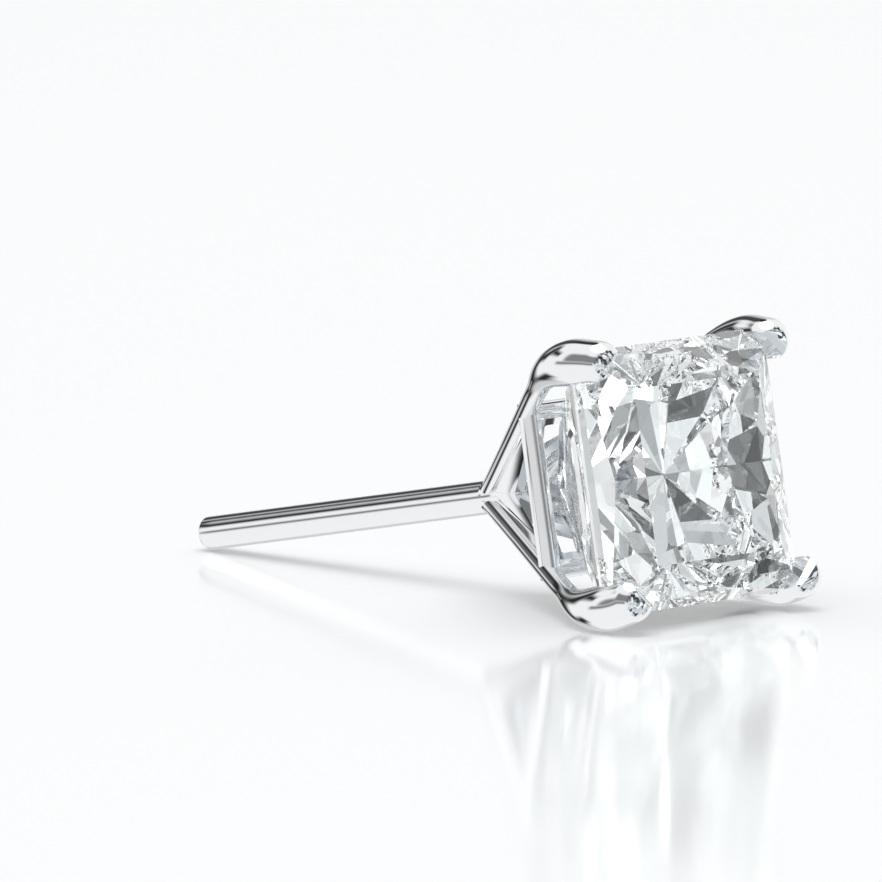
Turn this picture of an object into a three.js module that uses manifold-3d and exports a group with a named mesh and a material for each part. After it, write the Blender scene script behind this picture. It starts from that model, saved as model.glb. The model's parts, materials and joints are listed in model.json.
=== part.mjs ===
// A princess-cut stud earring: a square stone held by a four-claw head with a straight ear post.
// Both pieces are drawn about one axis. The back point of the head is the origin, forward is -Y
// and up is +Z, so the post runs along +Y. At the end the earring is tipped until it rests on its
// two lower claws and the end of its post.
import * as THREE from "three";
import { mergeVertices } from "three/addons/utils/BufferGeometryUtils.js";
import Module from "manifold-3d";

// Driving dimensions, in millimetres. "Ahead" is measured forward from the back point of the
// head, and "out" from the axis straight towards a corner of the stone.

// The stone
const STONE_WIDTH = 7;
const TABLE_WIDTH = 4.7;
const CROWN_HEIGHT = 0.8;
const GIRDLE_THICKNESS = 0.2;
const GIRDLE_SCALLOP = 0.03;
const PAVILION_DEPTH = 4.6;
const CULET_WIDTH = 0.06;
const CORNER_BEVEL = 0.1;
const GIRDLE_AHEAD = 7.25;

// The claws: one bent wire each, which thickens towards its rounded tip
const WIRE_START_OUT = 0.2;
const ELBOW_BEHIND_GIRDLE = 0.95;
const ELBOW_INSIDE_CORNER = 0.12;
const ELBOW_REACH = 1.3;
const TIP_PROUD_OF_TABLE = 0.21;
const TIP_INSIDE_CORNER = 0.62;
const TIP_LENGTH = 0.62;
const WIRE_THIN = 0.5;
const WIRE_THICK = 1.28;
const CLAW_COVER = 0.66;
const CLAW_BEVEL = 0.25;
const SEAT_CLEARANCE = 0.03;

// The basket behind the stone: a square rail, with pierced webs from it back to the point
const RAIL_AHEAD = 3.65;
const RAIL_DEPTH = 0.66;
const RAIL_THICKNESS = 0.3;
const RAIL_PROUD = 0.2;
const WEB_THICKNESS = 0.3;
const BASE_DEPTH = 1.2;
const WINDOW_WIDTH = 2.7;
const WINDOW_TIP_AHEAD = 2;

// The ear post
const POST_DIAMETER = 0.9;
const POST_LENGTH = 11;
const POST_CHAMFER = 0.15;
const POST_OVERLAP = 0.7;

// How finely round work is cut
const WIRE_SIDES = 20;
const WIRE_STEPS = 36;
const TIP_STEPS = 7;
const POST_SIDES = 32;

const halfWidth = STONE_WIDTH / 2;
const cornerOut = halfWidth * Math.SQRT2;
const tableAhead = GIRDLE_AHEAD + GIRDLE_THICKNESS / 2 + CROWN_HEIGHT;
const tipAhead = tableAhead + TIP_PROUD_OF_TABLE;
const clearReach = 8 * (STONE_WIDTH + tipAhead);

const wasm = await Module();
wasm.setup();

function solidOf(geometry) {
  const bare = geometry.clone();
  bare.deleteAttribute("normal");
  bare.deleteAttribute("uv");
  const merged = mergeVertices(bare, 1e-5);
  return new wasm.Manifold(
    new wasm.Mesh({
      numProp: 3,
      vertProperties: merged.attributes.position.array,
      triVerts: new Uint32Array(merged.index.array),
    }),
  );
}

function geometryOf(solid) {
  const mesh = solid.getMesh();
  const geometry = new THREE.BufferGeometry();
  geometry.setAttribute("position", new THREE.BufferAttribute(mesh.vertProperties, 3));
  geometry.setIndex(new THREE.BufferAttribute(mesh.triVerts, 1));
  geometry.computeVertexNormals();
  return geometry;
}

// Everything on the far side of a flat, as a block to cut away.
function blockBeyond(normal, point) {
  const block = new THREE.BoxGeometry(clearReach, clearReach, clearReach);
  block.translate(0, 0, clearReach / 2);
  const up = new THREE.Vector3(0, 0, 1);
  block.applyQuaternion(new THREE.Quaternion().setFromUnitVectors(up, normal));
  block.translate(point.x, point.y, point.z);
  return solidOf(block);
}

// The named points that the stone's facets run through, in the eighth of the stone between the
// middle of a side and a corner. Across and out are shares of half the stone's width. The last
// column is a share of the crown's height above the girdle, or of the pavilion's depth below it.
const table = TABLE_WIDTH / STONE_WIDTH;
const scallop = GIRDLE_SCALLOP;
const POINTS = {
  upperCorner: { across: 1, out: 1, crownShare: 0 },
  upperMiddle: { across: 0, out: 1, crownShare: scallop / CROWN_HEIGHT },
  starTip: { across: 0, out: 0.35 * table + 0.65, crownShare: 0.5 },
  tableCorner: { across: table, out: table, crownShare: 1 },
  tableMiddle: { across: 0, out: table, crownShare: 1 },
  lowerCorner: { across: 1, out: 1, pavilionShare: 0 },
  lowerMiddle: { across: 0, out: 1, pavilionShare: scallop / PAVILION_DEPTH },
  highChevron: { across: 0, out: 0.8, pavilionShare: 0.34 },
  lowChevron: { across: 0, out: 0.53, pavilionShare: 0.62 },
  kiteTip: { across: 0, out: 0.51, pavilionShare: 0.633 },
  kiteSide: { across: 0.2, out: 0.51, pavilionShare: 0.633 },
  mainLeft: { across: 0.92, out: 1.02, pavilionShare: 0 },
  mainRight: { across: 1.02, out: 0.92, pavilionShare: 0 },
  shoulder: { across: 0.42, out: 0.42, pavilionShare: 0.62 },
  shoulderLeft: { across: 0.35, out: 0.45, pavilionShare: 0.62 },
  shoulderRight: { across: 0.45, out: 0.35, pavilionShare: 0.62 },
  culet: { across: 0, out: 0, pavilionShare: 1 },
};

// The facets round the table and the culet. Each is cut on all four sides of the stone, and one
// that leans to a corner also as its mirror image.
const FACETS = [
  { name: "star", through: ["tableMiddle", "tableCorner", "starTip"], mirrored: false },
  { name: "bezel", through: ["upperCorner", "tableCorner", "starTip"], mirrored: true },
  { name: "upper girdle", through: ["upperCorner", "upperMiddle", "starTip"], mirrored: true },
  { name: "lower girdle", through: ["lowerCorner", "lowerMiddle", "highChevron"], mirrored: true },
  { name: "chevron", through: ["lowerCorner", "highChevron", "lowChevron"], mirrored: true },
  { name: "inner chevron", through: ["shoulder", "lowChevron", "culet"], mirrored: true },
  { name: "kite", through: ["kiteTip", "kiteSide", "culet"], mirrored: false },
  { name: "corner main", through: ["mainLeft", "mainRight", "shoulderLeft"], mirrored: false },
  { name: "inner main", through: ["shoulderLeft", "shoulderRight", "culet"], mirrored: false },
];

function stonePoint({ across, out, crownShare, pavilionShare }) {
  const above = GIRDLE_THICKNESS / 2 + crownShare * CROWN_HEIGHT;
  const below = GIRDLE_THICKNESS / 2 + pavilionShare * PAVILION_DEPTH;
  const ahead = GIRDLE_AHEAD + (crownShare === undefined ? -below : above);
  return new THREE.Vector3(across * halfWidth, -ahead, out * halfWidth);
}

// The stone as it is cut: a square block, with each facet ground flat in turn. Grown by a
// clearance, the same cuts make the seat that the claws are notched to.
function cutStone(grown) {
  const length = CROWN_HEIGHT + GIRDLE_THICKNESS + PAVILION_DEPTH;
  const width = STONE_WIDTH + 2 * grown;
  const middle = new THREE.Vector3(0, -GIRDLE_AHEAD, 0);
  let stone = solidOf(new THREE.BoxGeometry(width, 2 * length, width).translate(0, middle.y, 0));

  function grind(normal, point) {
    const start = point.clone().addScaledVector(normal, grown);
    stone = stone.subtract(blockBeyond(normal, start));
  }
  const forward = new THREE.Vector3(0, -1, 0);
  const culetDepth = 1 - CULET_WIDTH / STONE_WIDTH;
  grind(forward, stonePoint(POINTS.tableMiddle));
  grind(forward.clone().negate(), stonePoint({ across: 0, out: 0, pavilionShare: culetDepth }));

  for (const { through, mirrored } of FACETS) {
    const [a, b, c] = through.map((name) => stonePoint(POINTS[name]));
    const normal = b.clone().sub(a).cross(c.clone().sub(a)).normalize();
    if (normal.dot(a.clone().sub(middle)) < 0) normal.negate();
    for (const flip of mirrored ? [1, -1] : [1]) {
      const side = new THREE.Vector3(flip, 1, 1);
      for (let quarter = 0; quarter < 4; quarter += 1) {
        const turn = new THREE.Quaternion().setFromAxisAngle(forward, (quarter * Math.PI) / 2);
        grind(
          normal.clone().multiply(side).applyQuaternion(turn),
          a.clone().multiply(side).applyQuaternion(turn),
        );
      }
    }
  }
  const bevelOut = (cornerOut - CORNER_BEVEL) / Math.SQRT2;
  for (const [x, z] of [[1, 1], [1, -1], [-1, 1], [-1, -1]]) {
    const normal = new THREE.Vector3(x, 0, z).normalize();
    grind(normal, new THREE.Vector3(x * bevelOut, 0, z * bevelOut));
  }
  return stone;
}

// The line a claw's wire is bent to, in the plane through the axis and a corner of the stone:
// x is ahead, y is out.
const wireStart = new THREE.Vector2(0, WIRE_START_OUT);
const elbow = new THREE.Vector2(
  GIRDLE_AHEAD - ELBOW_BEHIND_GIRDLE,
  cornerOut - ELBOW_INSIDE_CORNER,
);
const wireTip = new THREE.Vector2(tipAhead, cornerOut - TIP_INSIDE_CORNER);
const wireSlope = (elbow.y - wireStart.y) / (elbow.x - wireStart.x);

function wireLine() {
  const reach = Math.min(ELBOW_REACH, elbow.distanceTo(wireTip) - TIP_LENGTH);
  const before = elbow.clone().addScaledVector(wireStart.clone().sub(elbow).normalize(), reach);
  const after = elbow.clone().addScaledVector(wireTip.clone().sub(elbow).normalize(), reach);
  const line = new THREE.CurvePath();
  line.add(new THREE.LineCurve(wireStart, before));
  line.add(new THREE.QuadraticBezierCurve(before, elbow, after));
  line.add(new THREE.LineCurve(after, wireTip));
  return line;
}

// How thick the wire is along its length: girth goes from the thin diameter to the thick one.
const WIRE_GIRTH = [
  { along: 0, girth: 0 },
  { along: 0.3, girth: 0.02 },
  { along: 0.6, girth: 0.07 },
  { along: 0.7, girth: 0.16 },
  { along: 0.77, girth: 0.36 },
  { along: 0.83, girth: 0.68 },
  { along: 0.88, girth: 0.9 },
  { along: 0.94, girth: 1 },
  { along: 1, girth: 0.88 },
];

// One claw: a turned, tapering wire with a domed tip, bent along its line.
function claw(sideways, upward) {
  const line = wireLine();
  const length = line.getLength();
  const domeStart = length - TIP_LENGTH;
  const radiusOf = (girth) => (WIRE_THIN + girth * (WIRE_THICK - WIRE_THIN)) / 2;
  const taper = new THREE.SplineCurve(
    WIRE_GIRTH.map(({ along, girth }) => new THREE.Vector2(radiusOf(girth), along * domeStart)),
  );
  const profile = [new THREE.Vector2(0, 0), ...taper.getPoints(WIRE_STEPS)];
  const tipRadius = radiusOf(WIRE_GIRTH.at(-1).girth);
  for (let step = 1; step <= TIP_STEPS; step += 1) {
    const angle = (step / TIP_STEPS) * (Math.PI / 2);
    const radius = step === TIP_STEPS ? 0 : tipRadius * Math.cos(angle);
    profile.push(new THREE.Vector2(radius, domeStart + TIP_LENGTH * Math.sin(angle)));
  }
  const wire = new THREE.LatheGeometry(profile, WIRE_SIDES);
  const spots = wire.attributes.position;
  const outward = new THREE.Vector3(sideways, 0, upward).normalize();
  const forward = new THREE.Vector3(0, -1, 0);
  const spot = new THREE.Vector3();
  for (let i = 0; i < spots.count; i += 1) {
    spot.fromBufferAttribute(spots, i);
    const share = THREE.MathUtils.clamp(spot.y / length, 0, 1);
    const centre = line.getPointAt(share);
    const along = line.getTangentAt(share);
    const tangent = forward.clone().multiplyScalar(along.x).addScaledVector(outward, along.y);
    const normal = forward.clone().multiplyScalar(-along.y).addScaledVector(outward, along.x);
    const across = normal.clone().cross(tangent);
    const bent = forward.clone().multiplyScalar(centre.x).addScaledVector(outward, centre.y);
    bent.addScaledVector(normal, spot.x).addScaledVector(across, spot.z);
    spots.setXYZ(i, bent.x, bent.y, bent.z);
  }
  return solidOf(wire);
}

// A four-sided turning about the axis. Each row of its profile says how far out its four edges
// are, and how far ahead. The edges point to the stone's corners, or to the middles of its sides.
function squareTurning(profile, edgesToCorners) {
  const points = profile.map(([out, ahead]) => new THREE.Vector2(out, -ahead));
  const turning = new THREE.LatheGeometry(points, 4);
  if (edgesToCorners) turning.rotateY(Math.PI / 4);
  return solidOf(turning);
}

const wireOutAt = (ahead) => WIRE_START_OUT + wireSlope * ahead;

// The square rail that ties the four claws together.
function rail() {
  const front = RAIL_AHEAD + RAIL_DEPTH;
  const outer = wireOutAt(RAIL_AHEAD + RAIL_DEPTH / 2) + RAIL_PROUD;
  const inner = outer - RAIL_THICKNESS * Math.SQRT2;
  return squareTurning(
    [
      [inner, front],
      [outer, front],
      [outer, RAIL_AHEAD],
      [inner, RAIL_AHEAD],
      [inner, front],
    ],
    true,
  );
}

// The webs: a thin four-sided funnel between the claws, with a three-cornered window behind
// each side of the rail and a solid base where the post is soldered on.
function webs() {
  const front = RAIL_AHEAD + RAIL_DEPTH / 2;
  const wall = WEB_THICKNESS * Math.hypot(Math.SQRT2, wireSlope);
  const funnel = squareTurning(
    [
      [0, BASE_DEPTH],
      [wireOutAt(BASE_DEPTH) - wall, BASE_DEPTH],
      [wireOutAt(front) - wall, front],
      [wireOutAt(front), front],
      [WIRE_START_OUT, 0],
      [0, 0],
    ],
    true,
  );
  const window = new THREE.Shape([
    new THREE.Vector2(-WINDOW_WIDTH / 2, -RAIL_AHEAD),
    new THREE.Vector2(WINDOW_WIDTH / 2, -RAIL_AHEAD),
    new THREE.Vector2(0, -WINDOW_TIP_AHEAD),
  ]);
  const through = new THREE.ExtrudeGeometry(window, { depth: STONE_WIDTH, bevelEnabled: false });
  through.translate(0, 0, -halfWidth);
  const upright = solidOf(through);
  const level = solidOf(through.clone().rotateY(Math.PI / 2));
  return funnel.subtract(upright).subtract(level);
}

function post() {
  const radius = POST_DIAMETER / 2;
  const profile = [
    new THREE.Vector2(0, -POST_OVERLAP),
    new THREE.Vector2(radius, -POST_OVERLAP),
    new THREE.Vector2(radius, POST_LENGTH - POST_CHAMFER),
    new THREE.Vector2(radius - POST_CHAMFER, POST_LENGTH),
    new THREE.Vector2(0, POST_LENGTH),
  ];
  return solidOf(new THREE.LatheGeometry(profile, POST_SIDES));
}

// Cuts a flat on the inner side of each claw tip, bevelled at its front edge, which leaves the
// middle of the stone clear.
function clawFlats() {
  const flat = cornerOut - CLAW_COVER;
  const bevelStart = tipAhead - CLAW_BEVEL;
  const front = tipAhead + WIRE_THICK;
  const profile = [
    [0, front],
    [flat + front - bevelStart, front],
    [flat, bevelStart],
    [flat, GIRDLE_AHEAD],
    [0, GIRDLE_AHEAD],
  ];
  return squareTurning(
    profile.map(([out, ahead]) => [out * Math.SQRT2, ahead]),
    false,
  );
}

function settingSolid() {
  let metal = webs().add(rail()).add(post());
  for (const [sideways, upward] of [[1, 1], [1, -1], [-1, 1], [-1, -1]]) {
    metal = metal.add(claw(sideways, upward));
  }
  return metal.subtract(clawFlats()).subtract(cutStone(SEAT_CLEARANCE));
}

const setting = new THREE.Mesh(
  geometryOf(settingSolid()),
  new THREE.MeshStandardMaterial({ color: 0xd8dadd, roughness: 0.12, metalness: 1 }),
);
setting.name = "setting";

const stone = new THREE.Mesh(
  geometryOf(cutStone(0)),
  new THREE.MeshStandardMaterial({ color: 0xeaf1f2, roughness: 0.02, metalness: 0 }),
);
stone.name = "stone";

const earring = new THREE.Group();
earring.add(setting, stone);

// How far the earring tips back, in radians, when the end of its post touches the surface that
// its lower claws stand on.
function restingTilt() {
  const spots = setting.geometry.attributes.position;
  const points = Array.from({ length: spots.count }, (_, i) =>
    new THREE.Vector3().fromBufferAttribute(spots, i),
  );
  const tail = points.filter((point) => point.y > POST_LENGTH / 2);
  const head = points.filter((point) => point.y < 0);
  let tilt = 0;
  for (let pass = 0; pass < 5; pass += 1) {
    const height = (point) => point.z * Math.cos(tilt) - point.y * Math.sin(tilt);
    const touching = tail.reduce((low, point) => (height(point) < height(low) ? point : low));
    tilt = Math.max(
      ...head.map((point) => Math.atan2(touching.z - point.z, touching.y - point.y)),
    );
  }
  return tilt;
}

earring.rotation.x = -restingTilt();
earring.updateMatrixWorld(true);
const box = new THREE.Box3().setFromObject(earring, true);
earring.position.set(-(box.min.x + box.max.x) / 2, -(box.min.y + box.max.y) / 2, -box.min.z);

export default earring;
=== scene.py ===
# %% [markdown]
# # A princess-cut stud earring
# A square, colourless stone sits in a head of four claws, and a straight post runs back from the
# head to go through the ear. Unworn, the stud lies on its two lower claws and the end of its post.
# The stone is the CAD model's own, because a cut stone is nothing but flat facets. The metal is
# made again here, finer and rounder, because polish shows every flat of a coarse mesh.

# %% Tools and the fixed frame
import json
import math

import bmesh
import bpy
from mathutils import Matrix, Vector


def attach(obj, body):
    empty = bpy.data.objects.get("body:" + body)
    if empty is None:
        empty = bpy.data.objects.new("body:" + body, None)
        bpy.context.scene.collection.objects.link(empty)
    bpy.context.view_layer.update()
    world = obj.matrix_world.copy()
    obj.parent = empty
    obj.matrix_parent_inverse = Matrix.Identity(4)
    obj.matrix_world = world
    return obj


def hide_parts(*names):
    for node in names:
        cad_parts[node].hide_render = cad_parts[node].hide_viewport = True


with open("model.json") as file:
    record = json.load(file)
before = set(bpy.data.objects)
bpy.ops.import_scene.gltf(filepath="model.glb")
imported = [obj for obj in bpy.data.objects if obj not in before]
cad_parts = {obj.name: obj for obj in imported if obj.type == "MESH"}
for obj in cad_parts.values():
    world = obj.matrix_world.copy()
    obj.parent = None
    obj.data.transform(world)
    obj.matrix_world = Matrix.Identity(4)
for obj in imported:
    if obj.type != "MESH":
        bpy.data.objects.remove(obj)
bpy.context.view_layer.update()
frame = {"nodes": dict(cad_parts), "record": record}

# %% [markdown]
# ## Where the jewel lies
# A goldsmith draws a stud about its own axis, and only then lays it down. The same is done here:
# every piece is drawn in millimetres with the back point of the head at the origin, forward
# along -Y and up along +Z. The record's mount at the end of the post says where that axis ended
# up when the stud was laid down, so one matrix carries each finished mesh to its place.

# %% The jewel's own space
MM = 0.001
POST_LENGTH = 11.0

post_mount = next(m for m in frame["record"]["mounts"] if m["name"] == "post_end")
post_axis = Vector(post_mount["axis"])
tilt = math.asin(-post_axis.z)
back_point = Vector(post_mount["pos_m"]) - POST_LENGTH * MM * post_axis
to_place = Matrix.Translation(back_point) @ Matrix.Rotation(-tilt, 4, "X") @ Matrix.Scale(MM, 4)
print("back point of the head, mm:", [round(1000 * v, 3) for v in back_point])
print("tilt, degrees:", round(math.degrees(tilt), 2))

# %% The jewel's sizes, in millimetres
STONE_WIDTH = 7.0
GIRDLE_AHEAD = 7.25
TABLE_AHEAD = 8.15
SEAT_CLEARANCE = 0.03

WIRE_START_OUT = 0.2
ELBOW_BEHIND_GIRDLE = 0.95
ELBOW_INSIDE_CORNER = 0.12
ELBOW_REACH = 1.3
TIP_PROUD_OF_TABLE = 0.21
TIP_INSIDE_CORNER = 0.62
TIP_LENGTH = 0.62
WIRE_THIN = 0.5
WIRE_THICK = 1.28
CLAW_COVER = 0.66
CLAW_BEVEL = 0.25

RAIL_AHEAD = 3.65
RAIL_DEPTH = 0.66
RAIL_THICKNESS = 0.3
RAIL_PROUD = 0.2
WEB_THICKNESS = 0.3
BASE_DEPTH = 1.2
WINDOW_WIDTH = 2.7
WINDOW_TIP_AHEAD = 2.0

POST_DIAMETER = 0.9
POST_CHAMFER = 0.15
POST_OVERLAP = 0.7

EDGE_ROUNDING = 0.05
RAIL_ROUNDING = 0.14

corner_out = STONE_WIDTH / 2 * math.sqrt(2)
tip_ahead = TABLE_AHEAD + TIP_PROUD_OF_TABLE
elbow = Vector((GIRDLE_AHEAD - ELBOW_BEHIND_GIRDLE, corner_out - ELBOW_INSIDE_CORNER))
tip = Vector((tip_ahead, corner_out - TIP_INSIDE_CORNER))
wire_start = Vector((0.0, WIRE_START_OUT))
wire_slope = (elbow.y - wire_start.y) / elbow.x


def wire_out_at(ahead):
    """How far out from the axis the middle of a claw's straight wire is."""
    return WIRE_START_OUT + wire_slope * ahead


# %% [markdown]
# ## Two small helpers for nodes
# Materials and Geometry Nodes are both built in code. One function adds a node with its
# settings and links, so that a tree reads from top to bottom like a recipe.

# %% Add a node
def add(tree, kind, inputs=(), **settings):
    node = tree.nodes.new(kind)
    for name, value in settings.items():
        setattr(node, name, value)
    for key, value in dict(inputs).items():
        if isinstance(value, bpy.types.NodeSocket):
            tree.links.new(value, node.inputs[key])
        else:
            node.inputs[key].default_value = value
    return node


# %% Colours from sRGB hex
def from_hex(code, alpha=1.0):
    def linear(part):
        share = int(part, 16) / 255
        return share / 12.92 if share <= 0.04045 else ((share + 0.055) / 1.055) ** 2.4

    return (*(linear(code[i : i + 2]) for i in (0, 2, 4)), alpha)


# %% [markdown]
# ## White metal
# The head and the post are white gold, cast, soldered and polished to a mirror, then plated with
# rhodium. Rhodium is a little darker and cooler than silver, and a mirror polish leaves almost
# no roughness: what the eye reads as the metal's colour is what it reflects. The last buffing
# leaves soft ripples about a millimetre long and a haze of hairlines. The ripples are a faint
# bump and the hairlines a small change in roughness. Real hairlines are far finer than a pixel,
# so they are drawn a tenth of a millimetre wide, which is as coarse as they need to be to show.

# %% The polished rhodium
RIPPLE_MM = 0.9
RIPPLE_DETAIL = 1.0
RIPPLE_HEIGHT_MM = 0.02
RIPPLE_STRENGTH = 0.1
HAIRLINE_MM = 0.12
HAIRLINE_DETAIL = 3.0
# The part of the noise that is used, and the roughness at its two ends
HAIRLINE_NOISE = (0.3, 0.7)
HAIRLINE_ROUGHNESS = (0.03, 0.075)

rhodium = bpy.data.materials.new("polished_rhodium_plate")
rhodium.use_nodes = True
tree = rhodium.node_tree
shader = tree.nodes["Principled BSDF"]
shader.inputs["Base Color"].default_value = from_hex("e6e8ea")
shader.inputs["Metallic"].default_value = 1.0
place = add(tree, "ShaderNodeTexCoord").outputs["Object"]
ripple = add(
    tree,
    "ShaderNodeTexNoise",
    {"Vector": place, "Scale": 1 / (RIPPLE_MM * MM), "Detail": RIPPLE_DETAIL},
)
hairlines = add(
    tree,
    "ShaderNodeTexNoise",
    {"Vector": place, "Scale": 1 / (HAIRLINE_MM * MM), "Detail": HAIRLINE_DETAIL},
)
haze = add(
    tree,
    "ShaderNodeMapRange",
    {
        "Value": hairlines.outputs["Fac"],
        "From Min": HAIRLINE_NOISE[0],
        "From Max": HAIRLINE_NOISE[1],
        "To Min": HAIRLINE_ROUGHNESS[0],
        "To Max": HAIRLINE_ROUGHNESS[1],
    },
)
bump = add(
    tree,
    "ShaderNodeBump",
    {
        "Height": ripple.outputs["Fac"],
        "Strength": RIPPLE_STRENGTH,
        "Distance": RIPPLE_HEIGHT_MM * MM,
    },
)
tree.links.new(haze.outputs["Result"], shader.inputs["Roughness"])
tree.links.new(bump.outputs["Normal"], shader.inputs["Normal"])
print("material:", rhodium.name)

# %% [markdown]
# ## Clear stone
# The stone is cut and polished diamond, or a stone cut to look like it. Its whole character is
# in one number, an index of refraction of 2.417: light that enters through the table can hardly
# leave through the back, so it bounces from facet to facet and comes out in bright and dark
# patches. Nothing is painted on it. The facets do the work, with a surface that has no
# roughness at all.

# %% The cut stone
DIAMOND_IOR = 2.417

diamond = bpy.data.materials.new("polished_diamond")
diamond.use_nodes = True
tree = diamond.node_tree
shader = tree.nodes["Principled BSDF"]
shader.inputs["Base Color"].default_value = from_hex("fbfdfd")
shader.inputs["Metallic"].default_value = 0.0
shader.inputs["Roughness"].default_value = 0.0
shader.inputs["IOR"].default_value = DIAMOND_IOR
shader.inputs["Transmission Weight"].default_value = 1.0
print("material:", diamond.name)

stone = frame["nodes"]["stone"]
stone.data.materials.clear()
stone.data.materials.append(diamond)


# %% [markdown]
# ## Mesh helpers
# A turning is a profile spun about the jewel's axis. With many sides it is round work, such as
# the post. With four sides it is square work, such as the rail. Corners of a profile are rounded
# first, because polishing takes every sharp edge off and the small curve left behind is what
# catches the light.

# %% Round the corners of a profile
def rounded(profile, radius, steps=4):
    """The closed profile with an arc in place of each corner."""
    points = [Vector(p) for p in profile]
    result = []
    for i, corner in enumerate(points):
        before = (points[i - 1] - corner).normalized()
        after = (points[(i + 1) % len(points)] - corner).normalized()
        half = before.angle(after) / 2
        centre = corner + (before + after).normalized() * (radius / math.sin(half))
        start = corner + before * (radius / math.tan(half)) - centre
        sweep = start.angle_signed(corner + after * (radius / math.tan(half)) - centre)
        for step in range(steps + 1):
            turn = Matrix.Rotation(-sweep * step / steps, 2)
            result.append(tuple(centre + turn @ start))
    return result


# %% Turn a profile about the axis
SQUARE = 4
ON_THE_AXIS_MM = 1e-9


def turned(name, profile, sides, closed=False, first_edge=0.0):
    """A mesh from rows of (out, ahead), with one edge in the direction first_edge from +Z."""
    work = bmesh.new()
    rings = []
    for out, ahead in profile:
        if out < ON_THE_AXIS_MM:
            rings.append([work.verts.new((0, -ahead, 0))] * sides)
            continue
        angles = [first_edge + 2 * math.pi * i / sides for i in range(sides)]
        rings.append([work.verts.new((out * math.sin(a), -ahead, out * math.cos(a))) for a in angles])
    pairs = list(zip(rings, rings[1:]))
    if closed:
        pairs.append((rings[-1], rings[0]))
    for ring, following in pairs:
        for i in range(sides):
            j = (i + 1) % sides
            corners = [ring[i], ring[j], following[j], following[i]]
            corners = [v for k, v in enumerate(corners) if v not in corners[:k]]
            if len(corners) > 2:
                work.faces.new(corners)
    bmesh.ops.recalc_face_normals(work, faces=work.faces)
    return object_of(name, work)


# %% Turn a bmesh into an object
def object_of(name, work):
    mesh = bpy.data.meshes.new(name)
    work.to_mesh(mesh)
    work.free()
    made = bpy.data.objects.new(name, mesh)
    bpy.context.scene.collection.objects.link(made)
    return made


# %% Join and cut solids
def evaluated(made):
    """A plain mesh of what the object's modifiers make."""
    graph = bpy.context.evaluated_depsgraph_get()
    return bpy.data.meshes.new_from_object(made.evaluated_get(graph))


def combine(made, operation, other):
    """Join the other solid to this one, or cut it out, and use the other one up."""
    step = made.modifiers.new("cut or join", "BOOLEAN")
    step.operation = operation
    step.solver = "MANIFOLD"
    step.object = other
    result = evaluated(made)
    made.modifiers.remove(step)
    old = made.data
    made.data = result
    bpy.data.meshes.remove(old)
    bpy.data.objects.remove(other)


# %% [markdown]
# ## The claws
# A claw is one wire. It leaves the back point, runs straight out to the stone's corner, bends
# round an elbow and ends in a dome over the crown, and it grows to more than twice its thickness
# on the way. A path with a rule for its thickness is what Geometry Nodes are good at: a line is
# given a third point, the elbow is filleted, and rings are threaded along it, closer together
# towards the tip so that the dome is round. Four instances about the axis make the set.

# %% The claw tree
CLAWS = 4
WIRE_SIDES = 64
WIRE_RINGS = 170
ELBOW_STEPS = 40
DOME_RINGS = 16
CLAW_WELD_MM = 1e-5
# The wire widens gently, swells round the elbow and slims a little at its end. The swelling and
# the slimming each run between two shares of its length. Both are smooth steps, because polish
# shows any bump.
WIRE_WIDENING = 0.2
WIRE_SWELL = (0.62, 0.98)
WIRE_END = (0.9, 1.0)
WIRE_END_SLIMMING = 0.12


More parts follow.
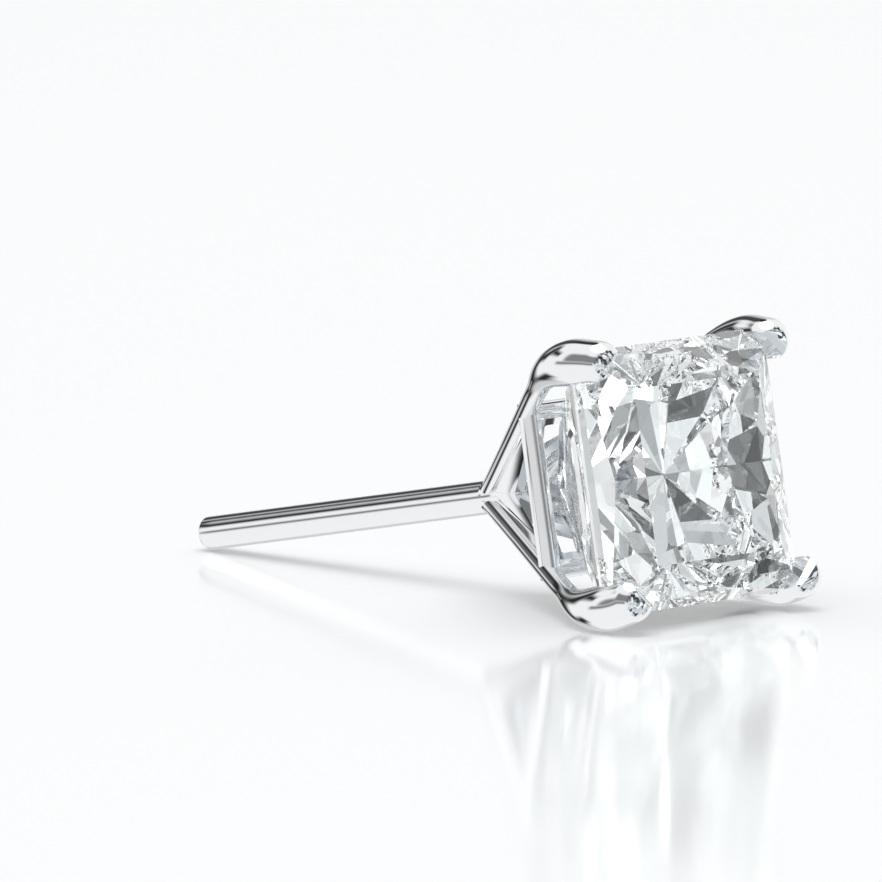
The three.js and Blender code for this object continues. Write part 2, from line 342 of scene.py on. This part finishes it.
def claw_tree():
    tree = bpy.data.node_groups.new("four_claws", "GeometryNodeTree")
    face = tree.interface
    wanted = (
        ("Start", "NodeSocketVector"),
        ("Elbow", "NodeSocketVector"),
        ("Tip", "NodeSocketVector"),
        ("Elbow Radius", "NodeSocketFloat"),
        ("Thin", "NodeSocketFloat"),
        ("Thick", "NodeSocketFloat"),
        ("Dome Length", "NodeSocketFloat"),
        ("Claws", "NodeSocketInt"),
        ("Metal", "NodeSocketMaterial"),
    )
    for name, kind in wanted:
        face.new_socket(name, in_out="INPUT", socket_type=kind)
    face.new_socket("Geometry", in_out="OUTPUT", socket_type="NodeSocketGeometry")
    given = add(tree, "NodeGroupInput").outputs

    def maths(operation, a, b=0.0, c=0.0, clamped=False):
        node = add(tree, "ShaderNodeMath", {0: a, 1: b, 2: c}, operation=operation, use_clamp=clamped)
        return node.outputs[0]

    def smooth(value, start, end):
        ends = {"Value": value, "From Min": start, "From Max": end}
        return add(tree, "ShaderNodeMapRange", ends, interpolation_type="SMOOTHERSTEP").outputs["Result"]

    # The bent line
    index = add(tree, "GeometryNodeInputIndex").outputs[0]
    line = add(tree, "GeometryNodeCurvePrimitiveLine", {"Start": given["Start"], "End": given["Tip"]})
    line = add(tree, "GeometryNodeSubdivideCurve", {"Curve": line.outputs[0], "Cuts": 1})
    middle = add(tree, "FunctionNodeCompare", {2: index, 3: 1}, data_type="INT", operation="EQUAL")
    line = add(
        tree,
        "GeometryNodeSetPosition",
        {"Geometry": line.outputs[0], "Selection": middle.outputs[0], "Position": given["Elbow"]},
    )
    line = add(
        tree,
        "GeometryNodeFilletCurve",
        {"Curve": line.outputs[0], "Count": ELBOW_STEPS, "Radius": given["Elbow Radius"]},
        mode="POLY",
    ).outputs[0]
    length = add(tree, "GeometryNodeCurveLength", {"Curve": line}).outputs[0]
    straight = maths("SUBTRACT", length, given["Dome Length"])

    # Rings up to the dome are evenly spaced, and those on the dome follow its quarter circle
    along = maths("DIVIDE", index, WIRE_RINGS, clamped=True)
    quarter = maths("MULTIPLY", maths("SUBTRACT", index, WIRE_RINGS), math.pi / 2 / DOME_RINGS)
    quarter = maths("MAXIMUM", quarter, 0.0)
    into_dome = maths("MULTIPLY", maths("SINE", quarter), given["Dome Length"])
    reach = maths("MULTIPLY_ADD", along, straight, into_dome)
    early = maths("MULTIPLY", maths("POWER", along, 2.0), WIRE_WIDENING)
    girth = maths("MULTIPLY_ADD", smooth(along, *WIRE_SWELL), maths("SUBTRACT", 1.0, early), early)
    slimming = maths("MULTIPLY", smooth(along, *WIRE_END), WIRE_END_SLIMMING)
    girth = maths("SUBTRACT", girth, slimming)
    growth = maths("SUBTRACT", given["Thick"], given["Thin"])
    thickness = maths("MULTIPLY_ADD", girth, growth, given["Thin"])
    radius = maths("MULTIPLY", maths("MULTIPLY", thickness, 0.5), maths("COSINE", quarter))

    rings = add(tree, "GeometryNodeMeshLine", {"Count": WIRE_RINGS + DOME_RINGS + 1})
    spot = add(tree, "GeometryNodeSampleCurve", {"Curves": line, "Length": reach}, mode="LENGTH")
    rings = add(
        tree,
        "GeometryNodeSetPosition",
        {"Geometry": rings.outputs[0], "Position": spot.outputs["Position"]},
    )
    wire = add(tree, "GeometryNodeMeshToCurve", {"Mesh": rings.outputs[0]})
    wire = add(tree, "GeometryNodeSetCurveRadius", {"Curve": wire.outputs[0], "Radius": radius})
    section = add(tree, "GeometryNodeCurvePrimitiveCircle", {"Resolution": WIRE_SIDES, "Radius": 1.0})
    claw = add(
        tree,
        "GeometryNodeCurveToMesh",
        {
            "Curve": wire.outputs[0],
            "Profile Curve": section.outputs[0],
            "Scale": add(tree, "GeometryNodeInputRadius").outputs[0],
            "Fill Caps": True,
        },
    )
    claw = add(
        tree,
        "GeometryNodeMergeByDistance",
        {"Geometry": claw.outputs[0], "Distance": CLAW_WELD_MM},
    )

    # Four of them about the axis, starting with a corner of the stone
    places = add(tree, "GeometryNodePoints", {"Count": given["Claws"]})
    turn = maths("DIVIDE", 2 * math.pi, given["Claws"])
    turn = maths("MULTIPLY", maths("ADD", index, 0.5), turn)
    turn = add(tree, "ShaderNodeCombineXYZ", {"Y": turn}).outputs[0]
    claws = add(
        tree,
        "GeometryNodeInstanceOnPoints",
        {"Points": places.outputs[0], "Instance": claw.outputs[0], "Rotation": turn},
    )
    joined = add(
        tree,
        "GeometryNodeMeshBoolean",
        {"Mesh 2": claws.outputs[0]},
        operation="UNION",
        solver="MANIFOLD",
    )
    real = add(tree, "GeometryNodeRealizeInstances", {"Geometry": joined.outputs[0]})
    done = add(
        tree,
        "GeometryNodeSetMaterial",
        {"Geometry": real.outputs[0], "Material": given["Metal"]},
    )
    add(tree, "NodeGroupOutput", {0: done.outputs[0]})
    return tree


# %% Run the claw tree
def run_tree(name, tree, values):
    """An object with the mesh that a Geometry Nodes tree makes from these input values."""
    holder = bpy.data.objects.new(name, bpy.data.meshes.new(name))
    bpy.context.scene.collection.objects.link(holder)
    step = holder.modifiers.new(name, "NODES")
    step.node_group = tree
    sockets = {s.name: s.identifier for s in tree.interface.items_tree if s.in_out == "INPUT"}
    for label, value in values.items():
        step[sockets[label]] = value
    result = evaluated(holder)
    holder.modifiers.remove(step)
    holder.data = result
    return holder


def in_claw_plane(point):
    """The place of a point (ahead, out) on the claw that is drawn straight above the axis."""
    return (0.0, -point.x, point.y)


bend = (elbow - wire_start).angle(tip - elbow)
claws = run_tree(
    "claws",
    claw_tree(),
    {
        "Start": in_claw_plane(wire_start),
        "Elbow": in_claw_plane(elbow),
        "Tip": in_claw_plane(tip),
        "Elbow Radius": ELBOW_REACH / math.tan(bend / 2),
        "Thin": WIRE_THIN,
        "Thick": WIRE_THICK,
        "Dome Length": TIP_LENGTH,
        "Claws": CLAWS,
        "Metal": rhodium,
    },
)
print("claws:", len(claws.data.polygons), "faces")

# %% [markdown]
# ## The basket
# Behind the stone a square rail ties the four claws together, and thin webs fill the spaces
# between them back to the point where the post is soldered on. Each web has a three-cornered
# window that lets light in behind the stone. Rail and webs are square turnings, and the windows
# are two prisms cut straight through.

# %% The rail
CORNERS = math.pi / 4
rail_front = RAIL_AHEAD + RAIL_DEPTH
rail_outer = wire_out_at(RAIL_AHEAD + RAIL_DEPTH / 2) + RAIL_PROUD
rail_inner = rail_outer - RAIL_THICKNESS * math.sqrt(2)
rail_section = (
    (rail_inner, rail_front),
    (rail_outer, rail_front),
    (rail_outer, RAIL_AHEAD),
    (rail_inner, RAIL_AHEAD),
)
rail = turned("rail", rounded(rail_section, RAIL_ROUNDING), SQUARE, closed=True, first_edge=CORNERS)

# %% The webs
web_front = RAIL_AHEAD + RAIL_DEPTH / 2
web_wall = WEB_THICKNESS * math.hypot(math.sqrt(2), wire_slope)
web_profile = (
    (0, BASE_DEPTH),
    (wire_out_at(BASE_DEPTH) - web_wall, BASE_DEPTH),
    (wire_out_at(web_front) - web_wall, web_front),
    (wire_out_at(web_front), web_front),
    (WIRE_START_OUT, 0),
    (0, 0),
)
webs = turned("webs", web_profile, SQUARE, first_edge=CORNERS)


def window(name, turn):
    """A long three-cornered prism through the middle of two opposite webs."""
    outline = rounded(
        ((-WINDOW_WIDTH / 2, RAIL_AHEAD), (WINDOW_WIDTH / 2, RAIL_AHEAD), (0, WINDOW_TIP_AHEAD)),
        EDGE_ROUNDING,
    )
    work = bmesh.new()
    for height in (-STONE_WIDTH / 2, STONE_WIDTH / 2):
        work.faces.new([work.verts.new((across, -ahead, height)) for across, ahead in outline])
    near, far = (list(face.verts) for face in work.faces)
    for i in range(len(near)):
        j = (i + 1) % len(near)
        work.faces.new((near[i], near[j], far[j], far[i]))
    bmesh.ops.recalc_face_normals(work, faces=work.faces)
    work.transform(Matrix.Rotation(turn, 4, "Y"))
    return object_of(name, work)


for quarter in (0, 1):
    combine(webs, "DIFFERENCE", window("window", quarter * math.pi / 2))
print("webs:", len(webs.data.polygons), "faces")

# %% [markdown]
# ## The post
# The ear post is drawn wire, 0.9 mm thick, with its end turned round so that it finds the
# piercing. It is one turning with many sides.

# %% The post
POST_SIDES = 96
POST_STEP = 0.4

# Half of the outline is turned, and its long straight side is split into rows of faces
post_radius = POST_DIAMETER / 2
post_section = rounded(
    (
        (-post_radius, POST_OVERLAP),
        (post_radius, POST_OVERLAP),
        (post_radius, POST_CHAMFER - POST_LENGTH),
        (post_radius - POST_CHAMFER, -POST_LENGTH),
        (POST_CHAMFER - post_radius, -POST_LENGTH),
        (-post_radius, POST_CHAMFER - POST_LENGTH),
    ),
    EDGE_ROUNDING,
)
around = [p for p in post_section if p[0] > 0]
split = next(i for i, (a, b) in enumerate(zip(around, around[1:])) if a[1] - b[1] > POST_LENGTH / 2)
start, end = around[split][1], around[split + 1][1]
rows = round((start - end) / POST_STEP)
straight = [(post_radius, start + (end - start) * i / rows) for i in range(1, rows)]
post_profile = [
    (0, POST_OVERLAP),
    *around[: split + 1],
    *straight,
    *around[split + 1 :],
    (0, -POST_LENGTH),
]
post = turned("post", post_profile, POST_SIDES)
print("post:", len(post.data.polygons), "faces")

# %% [markdown]
# ## The seat and the flats
# The setter files a notch in each claw to the shape of the stone, and a flat on the inside of
# each tip that leaves the stone's face clear. The stone itself makes the notch: a copy of the
# CAD stone, grown by the clearance, is cut from the metal.

# %% The seat cutter
SEAT_WELD_MM = 1e-4


def seat_cutter():
    """A merged copy of the stone in the jewel's own space, grown by the clearance."""
    work = bmesh.new()
    work.from_mesh(stone.data)
    work.transform(to_place.inverted())
    bmesh.ops.remove_doubles(work, verts=work.verts, dist=SEAT_WELD_MM)
    middle = Matrix.Translation((0, -GIRDLE_AHEAD, 0))
    grown = Matrix.Scale(1 + SEAT_CLEARANCE / (STONE_WIDTH / 2), 4)
    work.transform(middle @ grown @ middle.inverted())
    bmesh.ops.recalc_face_normals(work, faces=work.faces)
    return object_of("seat", work)


# %% The flats inside the tips
flat_out = corner_out - CLAW_COVER
bevel_start = tip_ahead - CLAW_BEVEL
bevel_end = tip_ahead + WIRE_THICK
flat_profile = (
    (0, bevel_end),
    (flat_out + bevel_end - bevel_start, bevel_end),
    (flat_out, bevel_start),
    (flat_out, GIRDLE_AHEAD),
    (0, GIRDLE_AHEAD),
)
flats = turned("flats", [(out * math.sqrt(2), ahead) for out, ahead in flat_profile], SQUARE)

# %% One soldered piece of metal
SHARP_EDGE_DEGREES = 30

setting = claws
setting.name = "setting_metal"
for piece in (webs, rail, post):
    combine(setting, "UNION", piece)
for cutter in (flats, seat_cutter()):
    combine(setting, "DIFFERENCE", cutter)
setting.data.transform(to_place)
setting.data.materials.clear()
setting.data.materials.append(rhodium)
setting.data.shade_smooth()
setting.data.set_sharp_from_angle(angle=math.radians(SHARP_EDGE_DEGREES))
print("setting:", len(setting.data.polygons), "faces", len(setting.data.vertices), "points")

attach(setting, "root")
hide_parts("setting")

# %% [markdown]
# ## Floor
# The stud lies on glossy white acrylic, the usual surface for a jewel in a catalogue. It gives a
# faint mirror image and a soft shadow on a clean white. The jewel isn't to mirror the floor, so
# the floor is hidden from its reflections: a catalogue picture of a jewel is taken in the open
# tent and laid on its white ground afterwards.

# %% The acrylic floor
FLOOR_HALF_M = 3.0
ACRYLIC_ROUGHNESS = 0.1
ACRYLIC_IOR = 1.49

acrylic = bpy.data.materials.new("white_acrylic_sheet")
acrylic.use_nodes = True
shader = acrylic.node_tree.nodes["Principled BSDF"]
shader.inputs["Base Color"].default_value = from_hex("f2f3f4")
shader.inputs["Roughness"].default_value = ACRYLIC_ROUGHNESS
shader.inputs["IOR"].default_value = ACRYLIC_IOR
print("material:", acrylic.name)

work = bmesh.new()
corners = ((-1, -1), (1, -1), (1, 1), (-1, 1))
work.faces.new([work.verts.new((x * FLOOR_HALF_M, y * FLOOR_HALF_M, 0)) for x, y in corners])
floor = object_of("floor", work)
floor.data.materials.append(acrylic)
floor.visible_glossy = False
floor.visible_transmission = False

# %% [markdown]
# ## Light
# Polished metal and cut stones show the room they are in, so the room is most of the picture.
# A jewel is photographed in a white tent with black and grey cards in it: the tent gives the
# clean white, and each card becomes a thin dark line along a wire and a dark patch in the stone.
# The tent could be built from area lights, but a world that is painted by direction reaches
# every side of the jewel with no seams, and one short table holds all of its cards. In front of
# the stone the tent is sewn from many panels, lit unevenly in a slightly cool white, which the
# stone breaks up into its sparkle.

# %% The tent and its cards
TENT_LIGHT = 1.08
CEILING_LIGHT = 4.0
# In degrees: where the bright ceiling starts, and half the width of every soft edge
CEILING_ABOVE = 64.0
CARD_EDGE = 6.0

# Azimuths are compass directions seen from the jewel, in degrees from the way the stone faces.
# Low and high are degrees above the jewel's own level, or below it if negative. Shade 1 is black.
CARDS = (
    {"name": "back wall", "azimuth": 150, "width": 58, "low": -48, "high": 36, "shade": 0.33},
    {"name": "side card, top", "azimuth": 180, "width": 16, "low": 4, "high": 37, "shade": 0.97},
    {"name": "side card, middle", "azimuth": 169, "width": 14, "low": -30, "high": 14, "shade": 0.97},
    {"name": "side card, foot", "azimuth": 184, "width": 24, "low": -42, "high": -26, "shade": 0.97},
    {"name": "flag on the side card", "azimuth": 200, "width": 28, "low": 18, "high": 31, "shade": 0.97},
    {"name": "back card", "azimuth": 153, "width": 24, "low": 5, "high": 43, "shade": 0.9},
    {"name": "top of the back card", "azimuth": 149, "width": 30, "low": 38, "high": 63, "shade": 0.97},
    {"name": "table edge", "azimuth": 251, "width": 68, "low": -6, "high": 3, "shade": 0.85},
    {"name": "grey curtain", "azimuth": 274, "width": 82, "low": 5, "high": 37, "shade": 0.75},
    {"name": "right curtain", "azimuth": 50, "width": 50, "low": -5, "high": 30, "shade": 0.4},
)

world = bpy.data.worlds.new("white_light_tent")
bpy.context.scene.world = world
world.use_nodes = True
tree = world.node_tree
ray = add(tree, "ShaderNodeTexCoord").outputs["Generated"]
parts = add(tree, "ShaderNodeSeparateXYZ", {"Vector": ray}).outputs
height = add(tree, "ShaderNodeMath", {0: parts["Z"]}, operation="ARCSINE").outputs[0]
level = add(tree, "ShaderNodeVectorMath", {0: ray, 1: (1, 1, 0)}, operation="MULTIPLY").outputs[0]
level = add(tree, "ShaderNodeVectorMath", {0: level}, operation="NORMALIZE").outputs[0]


def ramp(value, start, end):
    """0 before start and 1 after end, both in degrees, with a soft step between them."""
    ends = {"From Min": math.radians(start), "From Max": math.radians(end)}
    node = add(tree, "ShaderNodeMapRange", {"Value": value, **ends}, interpolation_type="SMOOTHSTEP")
    return node.outputs["Result"]


def both(a, b):
    return add(tree, "ShaderNodeMath", {0: a, 1: b}, operation="MULTIPLY").outputs[0]


# %% The uneven panels in front of the stone
# They cover all directions within PANELS_REACH degrees of the level one at PANELS_AZIMUTH
PANELS_AZIMUTH = 5.0
PANELS_REACH = 72.0
PANEL_DEGREES = 15.0
PANEL_RANDOMNESS = 0.8
# Each panel draws a share from 0 to 1, and these pairs turn that share into its light
PANEL_LIGHTS = ((0.0, 0.02), (0.25, 0.12), (0.5, 0.68), (1.0, 1.2))
PANEL_TINT = (0.95, 1.0, 1.02, 1)
WHITE = (1, 1, 1, 1)

panel = add(
    tree,
    "ShaderNodeTexVoronoi",
    {"Vector": ray, "Scale": 1 / math.radians(PANEL_DEGREES), "Randomness": PANEL_RANDOMNESS},
).outputs["Color"]
panel = add(tree, "ShaderNodeSeparateXYZ", {"Vector": panel}).outputs["X"]
panel_light = add(tree, "ShaderNodeValToRGB", {"Fac": panel})
steps = panel_light.color_ramp.elements
steps[0].position, steps[1].position = PANEL_LIGHTS[0][0], PANEL_LIGHTS[-1][0]
for position, _ in PANEL_LIGHTS[1:-1]:
    steps.new(position)
for step, (_, brightness) in zip(steps, PANEL_LIGHTS):
    step.color = (brightness, brightness, brightness, 1)
turn = math.radians(PANELS_AZIMUTH)
facing_panels = add(
    tree,
    "ShaderNodeVectorMath",
    {0: ray, 1: (math.sin(turn), -math.cos(turn), 0)},
    operation="DOT_PRODUCT",
).outputs["Value"]
beside = add(tree, "ShaderNodeMath", {0: facing_panels}, operation="ARCCOSINE").outputs[0]
past_panels = ramp(beside, PANELS_REACH - CARD_EDGE, PANELS_REACH + CARD_EDGE)

# A Mix node has sockets for each type of data, and for colours they are inputs 6 and 7, output 2
colour = add(
    tree,
    "ShaderNodeMix",
    {0: past_panels, 6: PANEL_TINT, 7: WHITE},
    data_type="RGBA",
).outputs[2]
light = add(
    tree,
    "ShaderNodeMix",
    {"Factor": past_panels, "A": panel_light.outputs["Color"], "B": TENT_LIGHT},
).outputs["Result"]
light = add(
    tree,
    "ShaderNodeMix",
    {
        "Factor": ramp(height, CEILING_ABOVE - CARD_EDGE, CEILING_ABOVE + CARD_EDGE),
        "A": light,
        "B": CEILING_LIGHT,
    },
).outputs["Result"]


# %% Hang the cards
def short_of(share):
    return add(tree, "ShaderNodeMath", {0: 1.0, 1: share}, operation="SUBTRACT").outputs[0]


for card in CARDS:
    turn = math.radians(card["azimuth"])
    way = (math.sin(turn), -math.cos(turn), 0)
    aside = add(tree, "ShaderNodeVectorMath", {0: level, 1: way}, operation="DOT_PRODUCT")
    aside = add(tree, "ShaderNodeMath", {0: aside.outputs["Value"]}, operation="ARCCOSINE").outputs[0]
    half = card["width"] / 2
    inside = short_of(ramp(aside, half - CARD_EDGE, half + CARD_EDGE))
    over = ramp(height, card["low"] - CARD_EDGE, card["low"] + CARD_EDGE)
    under = short_of(ramp(height, card["high"] - CARD_EDGE, card["high"] + CARD_EDGE))
    there = both(both(inside, over), under)
    left = add(tree, "ShaderNodeMath", {0: there, 1: -card["shade"], 2: 1.0}, operation="MULTIPLY_ADD")
    light = both(light, left.outputs[0])
tree.links.new(light, tree.nodes["Background"].inputs["Strength"])
tree.links.new(colour, tree.nodes["Background"].inputs["Color"])
print("hung in the tent:", "; ".join(card["name"] for card in CARDS))

# %% [markdown]
# ## How far light is followed
# Light bounces many times inside the stone before it finds a way out. Those reflections count as
# glossy ones, and with only 14 allowed the right half of the table goes dark. The Standard view
# keeps the tent a clean white.

# %% Bounces and view
BOUNCES = 32

scene = bpy.context.scene
scene.view_settings.view_transform = "Standard"
scene.cycles.max_bounces = BOUNCES
scene.cycles.transmission_bounces = BOUNCES
scene.cycles.glossy_bounces = BOUNCES

# %% [markdown]
# ## Camera
# The jewel is seen from low in front and to one side, through a long lens, as a catalogue
# photographer would use. The lens looks at a point a little to the left of and above the back
# point of the head, and takes in a square field of a little over two centimetres.

# %% The camera
CAMERA_AZIMUTH = -45.1
CAMERA_ELEVATION = 8.1
CAMERA_DISTANCE_M = 0.9
FIELD_MM = 23.395
SENSOR_MM = 36.0
# From the back point of the head, in millimetres in the picture
AIM_RIGHT = -1.387
AIM_UP = 1.475

azimuth = math.radians(CAMERA_AZIMUTH)
elevation = math.radians(CAMERA_ELEVATION)
away = Vector(
    (
        math.sin(azimuth) * math.cos(elevation),
        -math.cos(azimuth) * math.cos(elevation),
        math.sin(elevation),
    )
)
facing = away.to_track_quat("Z", "Y")
aim = back_point + facing @ Vector((AIM_RIGHT * MM, AIM_UP * MM, 0))

lens = bpy.data.cameras.new("long_lens")
lens.sensor_width = SENSOR_MM
lens.lens = SENSOR_MM * CAMERA_DISTANCE_M / (FIELD_MM * MM)
camera = bpy.data.objects.new("camera", lens)
bpy.context.scene.collection.objects.link(camera)
camera.rotation_euler = facing.to_euler()
camera.location = aim + away * CAMERA_DISTANCE_M
bpy.context.scene.camera = camera
print("camera, m:", [round(v, 3) for v in camera.location], "lens, mm:", round(lens.lens))
